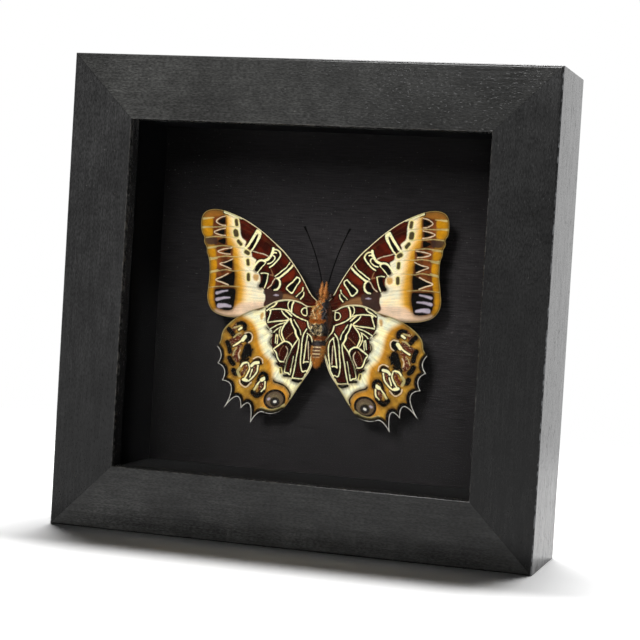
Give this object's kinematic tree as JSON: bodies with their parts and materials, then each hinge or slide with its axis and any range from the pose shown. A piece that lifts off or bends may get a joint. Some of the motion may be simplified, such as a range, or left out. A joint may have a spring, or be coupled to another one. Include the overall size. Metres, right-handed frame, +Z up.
{
  "type": "butterfly display case",
  "caption": "Square deep shadow box in black wood with a mounted butterfly floating on black card behind glass; turn buttons, hanger and bumpers on the back.",
  "frame": {"origin": "middle of the underside that the case stands on, at mid-depth of the wooden frame", "axes": "+X to the viewer's right, +Y from the glass towards the back, +Z up"},
  "size_m": [0.1524, 0.0414, 0.147],
  "materials": {
    "black_wood": "black stain over open grain, satin",
    "glass": "clear float glass, polished",
    "liner": "flat black paint",
    "black_card": "black textured card, matt",
    "foam_board": "white foam board",
    "hardboard": "bare brown hardboard",
    "button_steel": "black lacquered steel",
    "screw_steel": "zinc plated",
    "nail_steel": "bright steel",
    "hanger_steel": "brass-washed steel strip",
    "bumper_rubber": "matt",
    "post_plastic": "matt black",
    "insect_body": "furred",
    "insect_eye": "glossy facets",
    "insect_horn": "dry horn",
    "wing_scales": "dry scaled membrane, patterned"
  },
  "bodies": {
    "case": {"rail_top": "black_wood", "rail_bottom": "black_wood", "stile_left": "black_wood", "stile_right": "black_wood", "corner_nails": "nail_steel", "glass_pane": "glass", "spacer_top": "liner", "spacer_bottom": "liner", "spacer_left": "liner", "spacer_right": "liner", "backing_card": "black_card", "mount_board": "foam_board", "back_board": "hardboard", "turn_button_screws": "screw_steel", "hanger": "hanger_steel", "hanger_nails": "nail_steel", "wall_bumpers": "bumper_rubber", "specimen_post": "post_plastic", "thorax": "insect_body", "abdomen": "insect_body", "head": "insect_body", "eyes": "insect_eye", "palps": "insect_body", "legs": "insect_body", "antenna_left": "insect_horn", "antenna_right": "insect_horn", "forewing_left": "wing_scales", "forewing_right": "wing_scales", "hindwing_left": "wing_scales", "hindwing_right": "wing_scales"},
    "button_left_upper": {"turn_button_left_upper": "button_steel"},
    "button_left_lower": {"turn_button_left_lower": "button_steel"},
    "button_right_upper": {"turn_button_right_upper": "button_steel"},
    "button_right_lower": {"turn_button_right_lower": "button_steel"}
  },
  "joints": [
    {"name": "turn_button_left_upper_turn", "type": "hinge", "parent": "case", "child": "button_left_upper", "pos_m": [-0.0695, 0.01905, 0.1085], "axis": [0, 1, 0], "continuous": true},
    {"name": "turn_button_left_lower_turn", "type": "hinge", "parent": "case", "child": "button_left_lower", "pos_m": [-0.0695, 0.01905, 0.0385], "axis": [0, 1, 0], "continuous": true},
    {"name": "turn_button_right_upper_turn", "type": "hinge", "parent": "case", "child": "button_right_upper", "pos_m": [0.0695, 0.01905, 0.1085], "axis": [0, 1, 0], "continuous": true},
    {"name": "turn_button_right_lower_turn", "type": "hinge", "parent": "case", "child": "button_right_lower", "pos_m": [0.0695, 0.01905, 0.0385], "axis": [0, 1, 0], "continuous": true}
  ]
}
